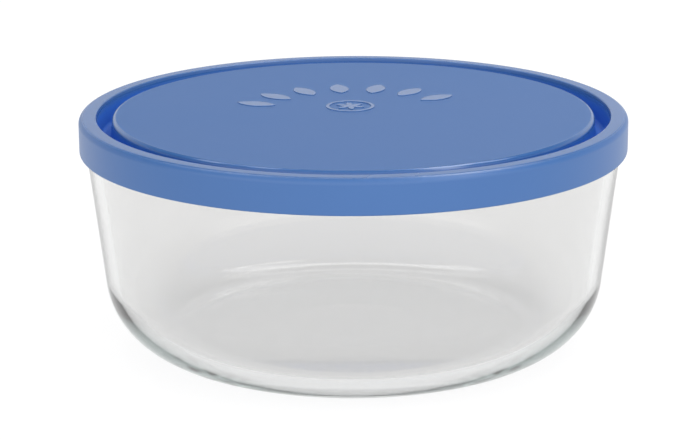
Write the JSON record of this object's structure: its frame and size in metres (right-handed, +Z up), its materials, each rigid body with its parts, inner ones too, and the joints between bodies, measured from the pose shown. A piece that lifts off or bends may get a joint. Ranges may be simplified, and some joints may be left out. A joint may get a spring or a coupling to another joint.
{
  "type": "glass food storage bowl",
  "caption": "Round clear glass food storage bowl with tapered wall and curved heel, closed by a blue one-piece press-on plastic lid with a sunken groove and raised panel.",
  "frame": {"origin": "on the bowl's axis, at the plane that the foot ring stands on", "axes": "+Z up along the common axis of bowl and lid; +Y towards the back, where the raised pattern's arc of leaves lies; +X to the right"},
  "size_m": [0.2, 0.2, 0.087],
  "materials": {
    "clear_glass": "clear pressed glass, fire-polished, faint green-grey where it is thick",
    "blue_plastic": "opaque satin mid-blue soft plastic, moulded"
  },
  "bodies": {
    "bowl": {"glass_bowl": "clear_glass"},
    "lid": {"lid": "blue_plastic"}
  },
  "joints": [
    {"name": "lid_lift", "type": "slide", "parent": "bowl", "child": "lid", "axis": [0, 0, 1], "range_m": [0, 0.08]}
  ]
}
